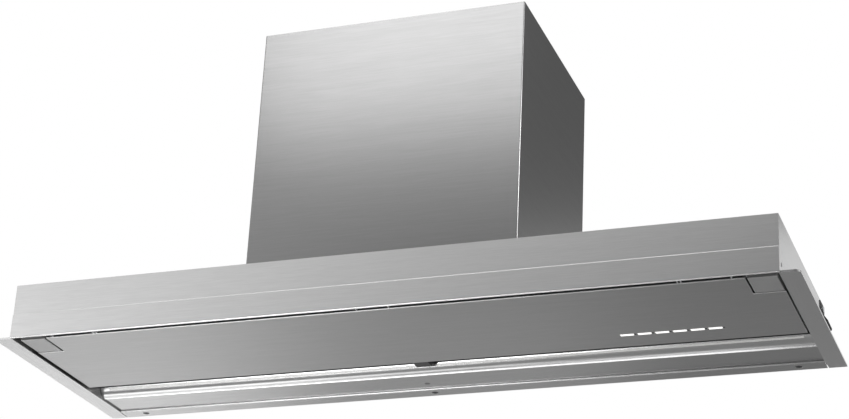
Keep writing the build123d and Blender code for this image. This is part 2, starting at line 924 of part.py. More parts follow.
def spiral(extra, top):
    """The casing's outline: four tangent quarter arcs of growing radius, then a straight duct.

    extra moves the whole outline outwards, so that 0 is the air space and the wall is around it.
    """
    h, radius, growth = fan_half, scroll_radius + extra, scroll_growth
    first = radius - growth
    right = h + radius + 2 * growth
    left = right - scroll_throat - 2 * extra
    start = math.degrees(math.acos((left + h) / first))
    tongue = (left, h + first * math.sin(math.radians(start)))
    arcs = [CenterArc((-h, h), first, start, 90 - start), CenterArc((-h, -h), radius, 90, 90),
            CenterArc((h, -h), radius + growth, 180, 90), CenterArc((h, h), radius + 2 * growth, 270, 90)]
    duct = Polyline((right, h), (right, top), (left, top), tongue)
    return Pos(fan_x, fan_z) * make_face([*arcs, *duct.edges()])


def scroll_half(toward):
    """One half of the fan casing, on the -Y side for toward = -1."""
    joint = turret_y
    outside = turret_y + toward * scroll_depth / 2
    inside = outside - toward * scroll_wall
    duct_top = turret_top_z - sheet - fan_z
    y0, y1 = sorted((joint, outside))
    shell = along_y(spiral(scroll_wall, duct_top), y0, y1)
    shell -= along_y(spiral(0, duct_top + 1), *sorted((joint - toward, inside)))
    centre = (fan_x, outside, fan_z)
    shell += rod(centre, (0, toward, 0), inlet_radius + inlet_lip, inlet_lip_height)
    hole_start = (fan_x, inside - toward, fan_z)
    shell -= rod(hole_start, (0, toward, 0), inlet_radius, scroll_wall + inlet_lip_height + 2)
    half = scroll_throat / 2 + scroll_wall + scroll_flange
    reach = outside + toward * scroll_flange
    fy0, fy1 = sorted((joint, reach))
    top = turret_top_z - sheet
    flange = block(-half, half, fy0, fy1, top - scroll_wall, top)
    throat = scroll_throat / 2
    ty0, ty1 = sorted((joint - toward, inside))
    return shell + (flange - block(-throat, throat, ty0, ty1, top - scroll_wall - 1, top + 1))


def blade():
    """One forward-curved blade, seen along the shaft."""
    sweep = math.radians(blade_sweep)
    tip = impeller_radius - blade_thickness / 2
    root = impeller_inner_radius
    outer = (tip * math.cos(sweep), tip * math.sin(sweep))
    line = RadiusArc((root, 0), outer, -blade_curve)
    return make_face(offset(line, amount=blade_thickness, side=Side.LEFT).edges())


def impeller():
    y0, y1 = turret_y - impeller_width / 2, turret_y + impeller_width / 2
    section = blade()
    wheel = along_y(Circle(impeller_radius), turret_y - impeller_disc / 2, turret_y + impeller_disc / 2)
    ring = Circle(impeller_radius) - Circle(impeller_radius - impeller_ring)
    wheel += along_y(ring, y0, y0 + impeller_ring_width)
    wheel += along_y(ring, y1 - impeller_ring_width, y1)
    for step in range(blade_count):
        wheel += along_y(Rot(0, 0, step * 360 / blade_count) * section, y0, y1)
    wheel += along_y(Circle(hub_radius), hub_near(), hub_near() + hub_length)
    bore = Circle(shaft_radius + shaft_seat_clearance)
    wheel -= along_y(bore, hub_near() - 1, hub_near() + hub_length + 1)
    return Pos(fan_x, 0, fan_z) * wheel


def hub_near():
    return turret_y - hub_length / 3


def motor_back():
    return hub_near() - motor_hub_gap


def motor_shaft():
    start = motor_back() - shaft_in_motor
    return rod((fan_x, start, fan_z), (0, 1, 0), shaft_radius, hub_near() + hub_length + 2 - start)


def motor():
    front = motor_back() - motor_length
    can = rod((fan_x, front, fan_z), (0, 1, 0), motor_radius, motor_length)
    can = chamfer(can.edges().group_by(Axis.Y)[-1], motor_corner)
    bore = shaft_radius + shaft_running_clearance
    return can - rod((fan_x, motor_back() + 1, fan_z), (0, -1, 0), bore, shaft_in_motor + 2)


def motor_bracket():
    """Ring on the casing's near side, with arms that reach in to the motor's end."""
    seat = turret_y - scroll_depth / 2
    plate = motor_back() - motor_length
    ring = Circle(bracket_ring_outer) - Circle(bracket_ring_inner)
    bracket = along_y(ring, seat - bracket_thickness, seat)
    bracket += along_y(Circle(bracket_plate), plate - bracket_thickness, plate)
    middle = (bracket_ring_outer + bracket_ring_inner) / 2
    post = bracket_ring_outer - bracket_ring_inner - 1
    for step in range(bracket_arms):
        turn = Rot(0, 0, 90 + step * 360 / bracket_arms)
        arm = turn * Pos(middle / 2 + 1, 0) * Rectangle(middle - 2, bracket_arm)
        foot = turn * Pos(middle, 0) * Rectangle(post, bracket_arm)
        bracket += along_y(arm, plate - bracket_thickness, plate)
        bracket += along_y(foot, plate - bracket_thickness, seat)
    return Pos(fan_x, 0, fan_z) * bracket


# Outlet


def damper_z():
    return turret_top_z + sheet + flap_seat_gap + knuckle_radius


def outlet_collar():
    base = turret_top_z
    centre = (0, turret_y, base)
    collar = rod(centre, (0, 0, 1), collar_base_radius, sheet)
    collar += rod(centre, (0, 0, 1), collar_radius, collar_height)
    collar -= rod((0, turret_y, base + sheet), (0, 0, 1), collar_radius - collar_wall, collar_height)
    collar -= rod((0, turret_y, base - 1), (0, 0, 1), collar_ledge_radius, sheet + 2)
    hole = damper_pin_radius + damper_pin_clearance
    collar -= rod((-collar_radius - 1, turret_y, damper_z()), (1, 0, 0), hole, 2 * collar_radius + 2)
    for angle in tab_angles():
        collar += Pos(0, turret_y, 0) * Rot(0, 0, angle) * collar_tab()
    return collar


def damper_pin():
    length = 2 * (collar_radius - fit_gap)
    return rod((-length / 2, turret_y, damper_z()), (1, 0, 0), damper_pin_radius, length)


def damper_flap(toward):
    """A half-round flap with one knuckle on the pin, on the -Y side for toward = -1."""
    radius = collar_radius - collar_wall - flap_gap
    base = turret_top_z + sheet + flap_seat_gap
    disc = extrude(Plane((0, turret_y, base)) * Circle(radius), flap_thickness)
    start, end = flap_knuckle_start, flap_knuckle_start + flap_knuckle_length
    if toward < 0:
        start, end = -end, -start
    far = turret_y + toward * 2 * radius
    middle = turret_y + toward * flap_middle_gap
    keep = block(-radius, radius, *sorted((middle, far)), base - 1, base + 2)
    keep += block(start, end, *sorted((turret_y, far)), base - 1, base + 2)
    knuckle = rod((start, turret_y, damper_z()), (1, 0, 0), knuckle_radius, end - start)
    bore = damper_pin_radius + damper_pin_clearance
    hole = rod((-radius, turret_y, damper_z()), (1, 0, 0), bore, 2 * radius)
    return (disc & keep) + knuckle - hole


# Power box


def power_corners():
    start = turret_width / 2 + power_gap
    return start, start + power_width, power_y, power_y + power_depth


def post_places():
    x0, x1, y0, y1 = power_corners()
    inset = post_inset
    return [(x, y) for x in (x0 + inset, x1 - inset) for y in (y0 + inset, y1 - inset)]


def gland_place():
    x0, x1, _, y1 = power_corners()
    return x1 - power_width / 4, y1, body_height + power_height / 2


def power_box():
    x0, x1, y0, y1 = power_corners()
    base, top, wall = body_height, body_height + power_height, power_wall
    tray = block(x0, x1, y0, y1, base, top)
    tray -= block(x0 + wall, x1 - wall, y0 + wall, y1 - wall, base + wall, top + 1)
    for x, y in post_places():
        tray += Pos(x, y, base + wall + post_height / 2) * Box(post_width, post_width, post_height)
    x, y, z = gland_place()
    return tray - rod((x, y - 2 * wall, z), (0, 1, 0), gland_radius + gland_clearance, 3 * wall)


def power_lid():
    x0, x1, y0, y1 = power_corners()
    top, wall = body_height + power_height, power_wall
    lid = block(x0 - wall, x1 + wall, y0 - wall, y1 + wall, top - lid_rim, top + wall)
    return lid - block(x0, x1, y0, y1, top - lid_rim - 1, top)


def power_board():
    """Circuit board on four posts, with its transformer, relays and terminal block."""
    x0, x1, y0, y1 = power_corners()
    inset = power_wall + board_margin
    base = body_height + power_wall + post_height
    top = base + board_thickness
    board = block(x0 + inset, x1 - inset, y0 + inset, y1 - inset, base, top)
    middle_x, middle_y = (x0 + x1) / 2, (y0 + y1) / 2
    low = (Align.CENTER, Align.CENTER, Align.MIN)
    board += Pos(x0 + power_width / 4, middle_y, top) * Box(*transformer, align=low)
    for step in range(3):
        board += Pos(middle_x + step * relay_pitch, middle_y - relay[1], top) * Box(*relay, align=low)
    return board + Pos(gland_place()[0], middle_y + power_depth / 4, top) * Box(*terminals, align=low)


def cable_gland():
    """Gland clamped through the box's wall between its collar and its nut, both hexagons."""
    x, y, z = gland_place()
    inner = y - power_wall
    hexagon = RegularPolygon(gland_nut, 6)
    length = gland_tail + power_wall + gland_length
    gland = rod((x, inner - gland_tail, z), (0, 1, 0), gland_radius, length)
    gland += Pos(x, 0, z) * along_y(hexagon, y, y + gland_nut_length)
    gland += Pos(x, 0, z) * along_y(hexagon, inner - gland_tail + 1, inner)
    return gland - rod((x, inner - gland_tail - 1, z), (0, 1, 0), gland_bore, length + 2)


# Clips, rivets and small screws


def right_side_clip():
    """Bowed leaf spring that grips the edge of the cupboard's cut-out."""
    near, far = clip_span()
    skin = side_x + clip_thickness
    line = [(skin, clip_top), (skin, clip_top - clip_flat), (side_x + clip_bulge, clip_bulge_z),
            (skin + fit_gap, clip_end_z)]
    section = folded(line, thickness=clip_thickness, radius=clip_bend)
    clip = along_y(section, near, far)
    hole = rivet_radius + rivet_clearance
    for y in rivet_places():
        clip -= rod((side_x - 1, y, rivet_z()), (1, 0, 0), hole, 4)
    return clip


def side_clips():
    return [mirrored(right_side_clip()), right_side_clip()]


def rivets():
    pieces = []
    for y in rivet_places():
        seat = side_x + clip_thickness
        shank = rod((wall_x - 1, y, rivet_z()), (1, 0, 0), rivet_radius, seat - wall_x + 1)
        rivet = shank + rod((seat, y, rivet_z()), (1, 0, 0), rivet_head, rivet_head_height)
        pieces += [rivet, mirrored(rivet)]
    return pieces


def casing_screws():
    screws = [screw((x, y, body_height + sheet), (0, 0, -1)) for x, y in turret_screw_places()]
    screws += [screw((x, turret_far, z), (0, -1, 0)) for x, z in back_screw_places()]
    return screws + rivets()


parts = {
    "front_fascia": front_fascia(),
    "front_band": front_band(),
    "left_side_panel": mirrored(right_side_panel()),
    "right_side_panel": right_side_panel(),
    "rear_panel": rear_panel(),
    "rear_flange_strip": rear_flange_strip(),
    "flange_screws": flange_screws(),
    "top_panel": top_panel(),
    "light_rail": light_rail(),
    "light_diffuser": light_diffuser(),
    "led_profile": led_profile(),
    "led_board": led_board(),
    "sensor_lens": sensor_lens(),
    "suction_panel": suction_panel(),
    "panel_backing": panel_backing(),
    "panel_stiffeners": panel_stiffeners(),
    "hinge_knuckles": hinge_knuckles(),
    "left_hinge_block": mirrored(right_hinge_block()),
    "right_hinge_block": right_hinge_block(),
    "hinge_pins": hinge_pins(),
    "panel_tongue": panel_tongue(),
    "panel_catch": panel_catch(),
    "catch_spring": catch_spring(),
    "control_housing": control_housing(),
    "control_board": control_board(),
    "filter_ledge": filter_ledge(),
    "filter_divider": filter_divider(),
    "side_baffles": side_baffles(),
    "left_filter_frame": mirrored(right_filter_frame()),
    "right_filter_frame": right_filter_frame(),
    "left_filter_mesh": mirrored(right_filter_mesh()),
    "right_filter_mesh": right_filter_mesh(),
    "left_filter_latch": mirrored(right_filter_latch()),
    "right_filter_latch": right_filter_latch(),
    "turret_shell": turret_shell(),
    "turret_back": turret_back(),
    "turret_top": turret_top(),
    "scroll_front": scroll_half(-1),
    "scroll_rear": scroll_half(1),
    "impeller": impeller(),
    "motor_shaft": motor_shaft(),
    "motor": motor(),
    "motor_bracket": motor_bracket(),
    "outlet_collar": outlet_collar(),
    "damper_pin": damper_pin(),
    "damper_flap_front": damper_flap(-1),
    "damper_flap_rear": damper_flap(1),
    "power_box": power_box(),
    "power_lid": power_lid(),
    "power_board": power_board(),
    "cable_gland": cable_gland(),
    "side_clips": side_clips(),
    "casing_screws": casing_screws(),
}
for number, x in enumerate(key_places(), start=1):
    parts[f"key_{number}"] = key(x)

os.makedirs("parts", exist_ok=True)
for name, shape in parts.items():
    solids = shape if isinstance(shape, list) else [shape]
    bodies = [solid for piece in solids for solid in piece.solids()]
    export_step(Compound(bodies), f"parts/{name}.step")
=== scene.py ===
import math

import bmesh
import bpy
from mathutils import Matrix, Vector


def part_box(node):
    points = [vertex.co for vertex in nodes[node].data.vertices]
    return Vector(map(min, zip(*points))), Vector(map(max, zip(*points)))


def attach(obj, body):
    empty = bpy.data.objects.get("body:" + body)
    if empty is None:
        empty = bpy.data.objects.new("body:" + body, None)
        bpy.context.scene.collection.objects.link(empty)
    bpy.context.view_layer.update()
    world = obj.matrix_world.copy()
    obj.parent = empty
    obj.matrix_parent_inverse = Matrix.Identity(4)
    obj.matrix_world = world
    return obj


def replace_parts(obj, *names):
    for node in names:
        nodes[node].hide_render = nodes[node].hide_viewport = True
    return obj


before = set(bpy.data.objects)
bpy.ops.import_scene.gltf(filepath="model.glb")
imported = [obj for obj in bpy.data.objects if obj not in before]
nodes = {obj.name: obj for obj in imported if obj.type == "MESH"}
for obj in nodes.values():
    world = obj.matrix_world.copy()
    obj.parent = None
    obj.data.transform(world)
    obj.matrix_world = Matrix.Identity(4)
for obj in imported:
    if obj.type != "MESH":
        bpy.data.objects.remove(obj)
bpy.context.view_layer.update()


# Low box: two folded sides with their bottom flanges, and the plain rear wall. They are bent from
# steel sheet of 1 mm, drawn brushed: the sides front to back, and the rear wall along its length.

def srgb(code):
    """Linear colour of an sRGB hex code."""
    shares = [int(code[place:place + 2], 16) / 255 for place in (1, 3, 5)]
    return [s / 12.92 if s <= 0.04045 else ((s + 0.055) / 1.055) ** 2.4 for s in shares] + [1.0]


def add_node(tree, kind, values=None, **settings):
    """A shader or geometry node. A value that is a socket is linked, and any other is set."""
    node = tree.nodes.new(kind)
    for name, setting in settings.items():
        setattr(node, name, setting)
    for name, value in (values or {}).items():
        socket = node.inputs[name]
        if isinstance(value, bpy.types.NodeSocket):
            tree.links.new(value, socket)
        else:
            socket.default_value = value
    return node


def new_material(name, colour, roughness, metallic=0.0, **sockets):
    """A material with its Principled shader set, and its Object coordinates."""
    material = bpy.data.materials.new(name)
    material.use_nodes = True
    tree = material.node_tree
    shader = tree.nodes["Principled BSDF"]
    shader.inputs["Base Color"].default_value = srgb(colour)
    shader.inputs["Roughness"].default_value = roughness
    shader.inputs["Metallic"].default_value = metallic
    for socket, value in sockets.items():
        shader.inputs[socket.replace("_", " ")].default_value = value
    place = add_node(tree, "ShaderNodeTexCoord").outputs["Object"]
    material.diffuse_color = srgb(colour)
    return material, tree, shader, place


def two_tones(tree, shader, pattern, dark, light):
    """The colour moves between two hex codes with a pattern from 0 to 1."""
    mix = add_node(tree, "ShaderNodeMix", data_type="RGBA")
    mix.inputs["A"].default_value = srgb(dark)
    mix.inputs["B"].default_value = srgb(light)
    tree.links.new(pattern, mix.inputs["Factor"])
    tree.links.new(mix.outputs["Result"], shader.inputs["Base Color"])


def spread_roughness(tree, shader, pattern, low, high):
    """The roughness moves between two values with a pattern from 0 to 1."""
    spread = add_node(tree, "ShaderNodeMapRange", {"Value": pattern, "To Min": low, "To Max": high})
    tree.links.new(spread.outputs["Result"], shader.inputs["Roughness"])


def add_bump(tree, shader, pattern, depth_mm, strength=1.0):
    """Relief of a real depth in millimetres."""
    bump = add_node(tree, "ShaderNodeBump", {"Height": pattern, "Distance": depth_mm / 1000,
                                             "Strength": strength})
    tree.links.new(bump.outputs["Normal"], shader.inputs["Normal"])


def brushed_steel(name, dark, light, roughness, scratch_mm, depth_mm=0.0012, pull=0.0, axis="X"):
    """Belt-ground metal. scratch_mm is one scratch's size along x, y and z, and pull stretches the
    gloss across scratches that run along the axis. Real ones are under 0.1 mm wide, too fine to
    show here, so they are drawn coarser."""
    material, tree, shader, place = new_material(name, light, roughness, metallic=1.0)
    fine = add_node(tree, "ShaderNodeMapping", {"Vector": place,
                                                "Scale": [1000 / size for size in scratch_mm]})
    scratches = add_node(tree, "ShaderNodeTexNoise", {"Vector": fine.outputs["Vector"], "Scale": 1.0,
                                                      "Detail": 3.0, "Roughness": 0.6})
    wide = add_node(tree, "ShaderNodeMapping", {"Vector": place,
                                                "Scale": [180 / size for size in scratch_mm]})
    passes = add_node(tree, "ShaderNodeTexNoise", {"Vector": wide.outputs["Vector"], "Scale": 1.0,
                                                   "Detail": 2.0})
    mixed = add_node(tree, "ShaderNodeMix", {"Factor": 0.25}, data_type="FLOAT")
    tree.links.new(scratches.outputs["Fac"], mixed.inputs["A"])
    tree.links.new(passes.outputs["Fac"], mixed.inputs["B"])
    clear = add_node(tree, "ShaderNodeMapRange", {"Value": mixed.outputs["Result"], "From Min": 0.3,
                                                  "From Max": 0.7})
    two_tones(tree, shader, clear.outputs["Result"], dark, light)
    spread_roughness(tree, shader, clear.outputs["Result"], roughness + 0.02, roughness - 0.02)
    add_bump(tree, shader, scratches.outputs["Fac"], depth_mm)
    if pull:
        shader.inputs["Anisotropic"].default_value = pull
        shader.inputs["Anisotropic Rotation"].default_value = 0.25
        around = add_node(tree, "ShaderNodeTangent", direction_type="RADIAL", axis=axis)
        tree.links.new(around.outputs["Tangent"], shader.inputs["Tangent"])
    return material


def dress(material, *names):
    """CAD nodes take a material on their own slots."""
    for name in names:
        mesh = nodes[name].data
        mesh.materials.clear()
        mesh.materials.append(material)


side_steel = brushed_steel("side_steel_grain_front_to_back", "#C0C0C0", "#CACACA", 0.26,
                           (0.9, 40, 0.9))
dress(side_steel, "left_side_panel", "right_side_panel")
rear_steel = brushed_steel("rear_wall_steel", "#B2B2B2", "#BEBEBE", 0.38, (60, 0.9, 0.9))
dress(rear_steel, "rear_panel")


# Front: an upper sheet, and a deeper band below it that stands 1 mm proud with a turned-in lip.
# Both are folded from stainless sheet and ground with the grain along the front.

front_steel = brushed_steel("front_steel_grain_along_front", "#C4C4C4", "#CFCFCF", 0.3,
                            (24, 0.8, 0.8), pull=0.7)
dress(front_steel, "front_fascia", "front_band")


# Top of the low box: zinc-coated sheet with the opening for the turret, and a turned-down rim.
# The coating shows large soft crystals.

def maths(tree, operation, *values):
    """The output of a math node. Each value is a number or a socket."""
    return add_node(tree, "ShaderNodeMath", dict(enumerate(values)), operation=operation).outputs[0]


def zinc_sheet(name, dark, light, spangle_mm=14.0):
    """Zinc-coated sheet with its spangle."""
    material, tree, shader, place = new_material(name, light, 0.42, metallic=1.0)
    crystals = add_node(tree, "ShaderNodeTexVoronoi", {"Vector": place, "Scale": 1000 / spangle_mm,
                                                       "Randomness": 0.9})
    tint = add_node(tree, "ShaderNodeSeparateColor", {"Color": crystals.outputs["Color"]})
    cloud = add_node(tree, "ShaderNodeTexNoise", {"Vector": place, "Scale": 60.0, "Detail": 3.0})
    mixed = maths(tree, "MULTIPLY", tint.outputs["Red"], cloud.outputs["Fac"])
    clear = add_node(tree, "ShaderNodeMapRange", {"Value": mixed, "From Max": 0.6})
    two_tones(tree, shader, clear.outputs["Result"], dark, light)
    spread_roughness(tree, shader, clear.outputs["Result"], 0.36, 0.5)
    add_bump(tree, shader, cloud.outputs["Fac"], 0.01, 0.4)
    return material


zinc_coated = zinc_sheet("zinc_coated_sheet", "#9FA3A5", "#B3B7B8")
dress(zinc_coated, "top_panel", "side_baffles", "filter_ledge", "filter_divider")


# Far edge of the underside: a flange strip with its screws and the folded light rail, which runs
# from a flat strip over a ridge to a slope. Brushed stainless steel, grain along the rail.

def new_piece(name, mesh, material, body):
    """A piece of the object, with its place in its mesh."""
    piece = bpy.data.objects.new(name, mesh)
    bpy.context.scene.collection.objects.link(piece)
    mesh.materials.clear()
    mesh.materials.append(material)
    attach(piece, body)
    return piece


def shape_tree(name, sizes_mm):
    """A Geometry Nodes tree with an input for each size, in metres."""
    tree = bpy.data.node_groups.new(name, "GeometryNodeTree")
    tree.interface.new_socket("Geometry", in_out="OUTPUT", socket_type="NodeSocketGeometry")
    tree.interface.new_socket("Places", in_out="INPUT", socket_type="NodeSocketGeometry")
    for size in sizes_mm:
        tree.interface.new_socket(size, in_out="INPUT", socket_type="NodeSocketFloat")
    return tree, tree.nodes.new("NodeGroupInput").outputs


def end_tree(tree, shape, places, material):
    """One copy of the shape at each place, made real, with its material."""
    copies = add_node(tree, "GeometryNodeInstanceOnPoints", {"Points": places, "Instance": shape})
    real = add_node(tree, "GeometryNodeRealizeInstances", {"Geometry": copies.outputs["Instances"]})
    painted = add_node(tree, "GeometryNodeSetMaterial", {"Geometry": real.outputs["Geometry"],
                                                         "Material": material})
    add_node(tree, "NodeGroupOutput", {"Geometry": painted.outputs["Geometry"]})


def grown(name, tree, places_mm, sizes_mm):
    """The tree's result on a set of places, as a plain mesh."""
    seeds = bpy.data.meshes.new(name)
    seeds.from_pydata([[value / 1000 for value in place] for place in places_mm], [], [])
    holder = bpy.data.objects.new(name, seeds)
    bpy.context.scene.collection.objects.link(holder)
    modifier = holder.modifiers.new("shape", "NODES")
    modifier.node_group = tree
    for socket in tree.interface.items_tree:
        if socket.name in sizes_mm:
            modifier[socket.identifier] = sizes_mm[socket.name] / 1000
    mesh = bpy.data.meshes.new_from_object(holder.evaluated_get(bpy.context.evaluated_depsgraph_get()))
    bpy.data.objects.remove(holder)
    mesh.name = name
    return mesh


def node_box(tree, place, size):
    """A box in a tree, at a place and of a size that are given as three sockets or numbers each."""
    extent, centre = (add_node(tree, "ShaderNodeCombineXYZ", dict(zip("XYZ", values))).outputs[0]
                      for values in (size, place))
    shape = add_node(tree, "GeometryNodeMeshCube", {"Size": extent})
    moved = add_node(tree, "GeometryNodeTransform", {"Geometry": shape.outputs["Mesh"],
                                                     "Translation": centre})
    return moved.outputs["Geometry"]


rail_steel = brushed_steel("rail_steel_grain_along_front", "#ABABAB", "#B6B6B6", 0.24,
                           (30, 0.8, 0.8), pull=0.3)
dress(rail_steel, "light_rail", "rear_flange_strip")

screw_xs_mm = (-398, -24, 398)
screw_y_mm = 131.5
screw_sizes = {"Head Radius": 3.8, "Head Depth": 2.2, "Shank Radius": 1.9, "Shank Start": 1.6,
               "Shank Length": 5.4, "Slot Length": 4.6, "Slot Width": 0.9, "Slot Depth": 2.8}
tree, sizes = shape_tree("cross_recess_screw", screw_sizes)
head = add_node(tree, "GeometryNodeMeshCone", {"Vertices": 32, "Radius Bottom": sizes["Head Radius"],
                                               "Radius Top": sizes["Shank Radius"],
                                               "Depth": sizes["Head Depth"]})
recess = add_node(tree, "GeometryNodeMeshBoolean", {"Mesh 1": head.outputs["Mesh"]},
                  operation="DIFFERENCE")
for along, across in (("Slot Length", "Slot Width"), ("Slot Width", "Slot Length")):
    slot = node_box(tree, (0.0, 0.0, 0.0), (sizes[along], sizes[across], sizes["Slot Depth"]))
    tree.links.new(slot, recess.inputs["Mesh 2"])
shank = add_node(tree, "GeometryNodeMeshCone", {"Vertices": 24, "Radius Bottom": sizes["Shank Radius"],
                                                "Radius Top": sizes["Shank Radius"],
                                                "Depth": sizes["Shank Length"]})
start = add_node(tree, "ShaderNodeCombineXYZ", {"Z": sizes["Shank Start"]})
raised = add_node(tree, "GeometryNodeTransform", {"Geometry": shank.outputs["Mesh"],
                                                  "Translation": start.outputs[0]})
screw = add_node(tree, "GeometryNodeJoinGeometry")
tree.links.new(recess.outputs["Mesh"], screw.inputs["Geometry"])
tree.links.new(raised.outputs["Geometry"], screw.inputs["Geometry"])
zinc_plated, paint, shader, place = new_material("zinc_plated_steel", "#C6C8CA", 0.3, metallic=1.0)
stain = add_node(paint, "ShaderNodeTexNoise", {"Vector": place, "Scale": 300.0, "Detail": 3.0})
two_tones(paint, shader, stain.outputs["Fac"], "#A9ACAF", "#D3D5D7")
spread_roughness(paint, shader, stain.outputs["Fac"], 0.24, 0.4)
dark_zinc, paint, shader, place = new_material("dark_zinc_screw", "#4A4B4C", 0.42, metallic=0.8)
stain = add_node(paint, "ShaderNodeTexNoise", {"Vector": place, "Scale": 500.0, "Detail": 3.0})
two_tones(paint, shader, stain.outputs["Fac"], "#3E3F40", "#57585A")
end_tree(tree, screw.outputs["Geometry"], sizes["Places"], dark_zinc)
screw_mesh = grown("cross_recess_screws", tree, [(x, screw_y_mm, 0) for x in screw_xs_mm], screw_sizes)
screws = new_piece("cross_recess_screws", screw_mesh, dark_zinc, "hood")
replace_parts(screws, "flange_screws")


# Lamp strip in the slope: an extruded aluminium channel, its board of small lamps, and the opal
# moulded cover over them. The small dark lens lies in the flat strip beside the slope.

extruded = brushed_steel("extruded_aluminium", "#C6C7C8", "#D3D4D5", 0.34, (400, 0.8, 0.8))
dress(extruded, "led_profile")

board_green, tree, shader, place = new_material("board_green_resist", "#1F5A3A", 0.35)
tracks = add_node(tree, "ShaderNodeTexBrick", {"Vector": place, "Scale": 250.0, "Mortar Size": 0.06,
                                               "Color1": srgb("#1F5A3A"), "Color2": srgb("#1B4F33"),
                                               "Mortar": srgb("#2F7A50")})
tree.links.new(tracks.outputs["Color"], shader.inputs["Base Color"])
add_bump(tree, shader, tracks.outputs["Fac"], 0.03)
dress(board_green, "led_board", "control_board", "power_board")

opal, tree, shader, place = new_material("opal_cover", "#EFEFEC", 0.32)
shader.inputs["Subsurface Weight"].default_value = 0.25
shader.inputs["Subsurface Radius"].default_value = (0.004, 0.004, 0.004)
haze = add_node(tree, "ShaderNodeTexNoise", {"Vector": place, "Scale": 220.0, "Detail": 3.0})
two_tones(tree, shader, haze.outputs["Fac"], "#E4E4E1", "#F4F4F2")
add_bump(tree, shader, haze.outputs["Fac"], 0.01)
dress(opal, "light_diffuser")

lens, tree, shader, place = new_material("dark_sensor_lens", "#0C0C0E", 0.06, Coat_Weight=0.5)
smoke = add_node(tree, "ShaderNodeTexNoise", {"Vector": place, "Scale": 400.0})
two_tones(tree, shader, smoke.outputs["Fac"], "#08080A", "#131316")
dress(lens, "sensor_lens")


# Grease filters: two frames of rolled aluminium, each round two layers of expanded aluminium mesh
# that lie half a cell apart, and a black moulded slide latch on each. The mesh's strands are drawn
# as whole diamond rings side by side.

frame_aluminium = brushed_steel("rolled_filter_frame", "#C6C7C8", "#D6D7D8", 0.34, (60, 1.5, 1.5))
dress(frame_aluminium, "left_filter_frame", "right_filter_frame")
mesh_aluminium = brushed_steel("expanded_filter_mesh", "#B4B5B6", "#D2D3D4", 0.32, (4, 4, 4))
mesh_sizes = {"Long Way": 8.28, "Short Way": 5.2, "Strand Width": 0.9, "Strand Thickness": 1.1}
mesh_layers = ((30.0, 35, 30), (32.0, 34, 29))  # height in mm, columns, rows
mesh_x_mm, mesh_y_mm = 171.0, -25.95
for name, side, body in (("left_filter_mesh", -1, "left_filter"),
                         ("right_filter_mesh", 1, "right_filter")):
    layers = []
    for level, columns, rows in mesh_layers:
        tree, sizes = shape_tree("expanded_mesh", mesh_sizes)
        half = maths(tree, "MULTIPLY", sizes["Short Way"], 0.5)
        diamond = add_node(tree, "GeometryNodeCurvePrimitiveQuadrilateral", mode="KITE")
        for socket, size in (("Width", sizes["Long Way"]), ("Bottom Height", half), ("Top Height", half)):
            tree.links.new(size, diamond.inputs[socket])
        strand = add_node(tree, "GeometryNodeCurvePrimitiveQuadrilateral", {
            "Width": sizes["Strand Width"], "Height": sizes["Strand Thickness"]})
        ring = add_node(tree, "GeometryNodeCurveToMesh", {"Curve": diamond.outputs["Curve"],
                                                          "Profile Curve": strand.outputs["Curve"]})
        grid = add_node(tree, "GeometryNodeMeshGrid", {
            "Size X": maths(tree, "MULTIPLY", sizes["Long Way"], columns - 1.0),
            "Size Y": maths(tree, "MULTIPLY", sizes["Short Way"], rows - 1.0),
            "Vertices X": columns, "Vertices Y": rows})
        cells = add_node(tree, "GeometryNodeInstanceOnPoints", {"Points": grid.outputs["Mesh"],
                                                                "Instance": ring.outputs["Mesh"]})
        end_tree(tree, cells.outputs["Instances"], sizes["Places"], mesh_aluminium)
        layers.append(grown(name + "_layer", tree, [(side * mesh_x_mm, mesh_y_mm, level)], mesh_sizes))
    joined_mesh = bmesh.new()
    for layer in layers:
        joined_mesh.from_mesh(layer)
        bpy.data.meshes.remove(layer)
    both = bpy.data.meshes.new(name + "_layers")
    joined_mesh.to_mesh(both)
    joined_mesh.free()
    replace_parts(new_piece(name + "_layers", both, mesh_aluminium, body), name)


def moulded(name, dark, light, roughness, grain_mm=0.7, depth_mm=0.02, **sockets):
    """A grained surface, as a mould or a coating gives. Real grain is about 0.1 mm, too fine to show
    here, so it is drawn coarser."""
    material, tree, shader, place = new_material(name, light, roughness, **sockets)
    texture = add_node(tree, "ShaderNodeTexNoise", {"Vector": place, "Scale": 1000 / grain_mm,
                                                    "Detail": 3.0})
    wide = add_node(tree, "ShaderNodeTexNoise", {"Vector": place, "Scale": 45.0, "Detail": 2.0})
    two_tones(tree, shader, wide.outputs["Fac"], dark, light)
    spread_roughness(tree, shader, texture.outputs["Fac"], roughness - 0.06, roughness + 0.08)
    add_bump(tree, shader, texture.outputs["Fac"], depth_mm, 0.5)
    return material


black_plastic = moulded("black_moulded_plastic", "#141415", "#1F1F20", 0.48)
dress(black_plastic, "left_filter_latch", "right_filter_latch")


# Suction panel: a shallow folded tray of brushed stainless steel with a plain backing sheet and
# two pressed stiffeners, all zinc-coated behind. It hangs on two pins near its near edge, and its
# far edge swings down.

panel_steel = brushed_steel("panel_steel_grain_along_front", "#A5A5A5", "#AFAFAF", 0.3,
                            (24, 0.8, 0.8), pull=0.4)
dress(panel_steel, "suction_panel")
dress(zinc_coated, "panel_backing", "panel_stiffeners", "panel_tongue")
dress(black_plastic, "hinge_knuckles")
dress(zinc_plated, "hinge_pins")
